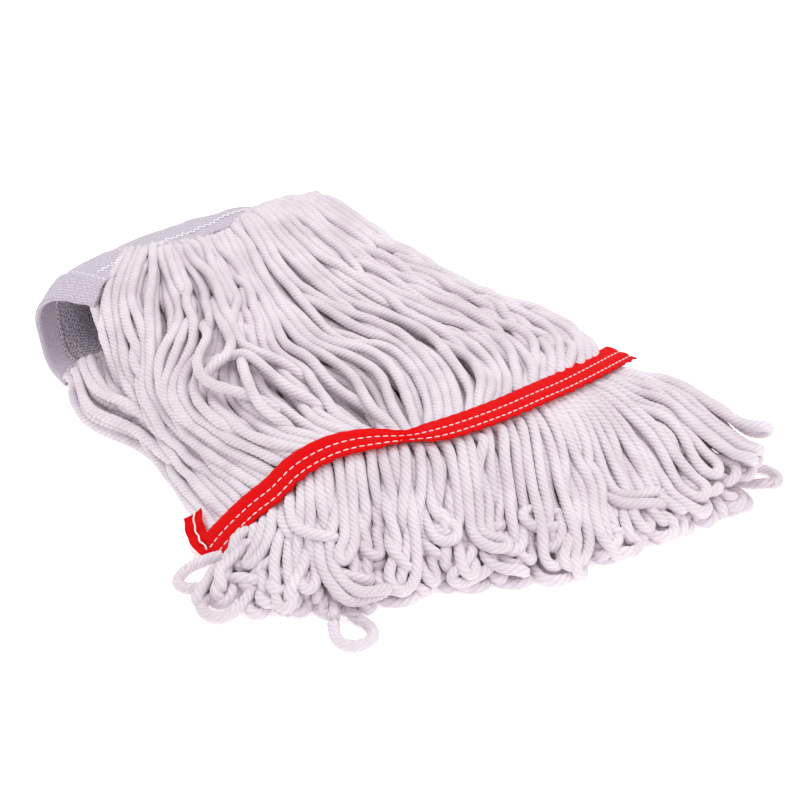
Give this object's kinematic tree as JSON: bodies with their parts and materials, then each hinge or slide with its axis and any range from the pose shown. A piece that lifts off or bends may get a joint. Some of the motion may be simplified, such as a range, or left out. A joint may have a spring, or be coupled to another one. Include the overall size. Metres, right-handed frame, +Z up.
{
  "type": "string mop head",
  "caption": "Looped-end wet mop head lying folded: soft twisted yarn gathered in a wide mesh headband that forms a tunnel for the holder's bar, with a red tape sewn across near the loops.",
  "frame": {"origin": "on the floor under the middle of the folded mop head", "axes": "+X from the fold of the headband to the looped fringe, +Y along the fold, +Z up from the floor"},
  "size_m": [0.3399, 0.2779, 0.0505],
  "materials": {
    "yarn": "matte",
    "mesh": "matte",
    "lining": "matte",
    "red_tape": "matte",
    "thread": "matte"
  },
  "bodies": {
    "lower_half": {"headband_hem_left_lower": "mesh", "headband_hem_right_lower": "mesh", "headband_lining_lower": "lining", "headband_mesh_lower": "mesh", "headband_stitching_lower": "thread", "loose_loop_front_left": "yarn", "loose_loop_right_front": "yarn", "lower_hank_01": "yarn", "lower_hank_02": "yarn", "lower_hank_03": "yarn", "lower_hank_04": "yarn", "lower_hank_05": "yarn", "lower_hank_06": "yarn", "lower_hank_07": "yarn", "lower_hank_08": "yarn", "lower_hank_09": "yarn", "lower_hank_10": "yarn", "tailband_lower_top": "red_tape", "tailband_lower_under": "red_tape", "tailband_stitching_lower": "thread", "yarn_waist_lower": "yarn"},
    "upper_half": {"headband_hem_left_upper": "mesh", "headband_hem_right_upper": "mesh", "headband_lining_upper": "lining", "headband_mesh_upper": "mesh", "headband_stitching_upper": "thread", "loose_loop_left_back": "yarn", "loose_loop_left_front": "yarn", "tailband_stitching_upper": "thread", "tailband_upper_top": "red_tape", "tailband_upper_under": "red_tape", "upper_hank_01": "yarn", "upper_hank_02": "yarn", "upper_hank_03": "yarn", "upper_hank_04": "yarn", "upper_hank_05": "yarn", "upper_hank_06": "yarn", "upper_hank_07": "yarn", "upper_hank_08": "yarn", "upper_hank_09": "yarn", "upper_hank_10": "yarn", "yarn_waist_upper": "yarn"},
    "upper_fringe": {"loose_loop_right_back": "yarn", "upper_fringe_hank_01": "yarn", "upper_fringe_hank_02": "yarn", "upper_fringe_hank_03": "yarn", "upper_fringe_hank_04": "yarn", "upper_fringe_hank_05": "yarn", "upper_fringe_hank_06": "yarn", "upper_fringe_hank_07": "yarn", "upper_fringe_hank_08": "yarn", "upper_fringe_hank_09": "yarn", "upper_fringe_hank_10": "yarn"}
  },
  "joints": [
    {"name": "headband_fold", "type": "hinge", "parent": "lower_half", "child": "upper_half", "pos_m": [-0.17, 0, 0.025], "axis": [0, -1, 0], "range_deg": [0, 170]},
    {"name": "upper_fringe_lift", "type": "hinge", "parent": "upper_half", "child": "upper_fringe", "pos_m": [0.11385, 0, 0.0478], "axis": [0, -1, 0], "range_deg": [0, 60]}
  ]
}
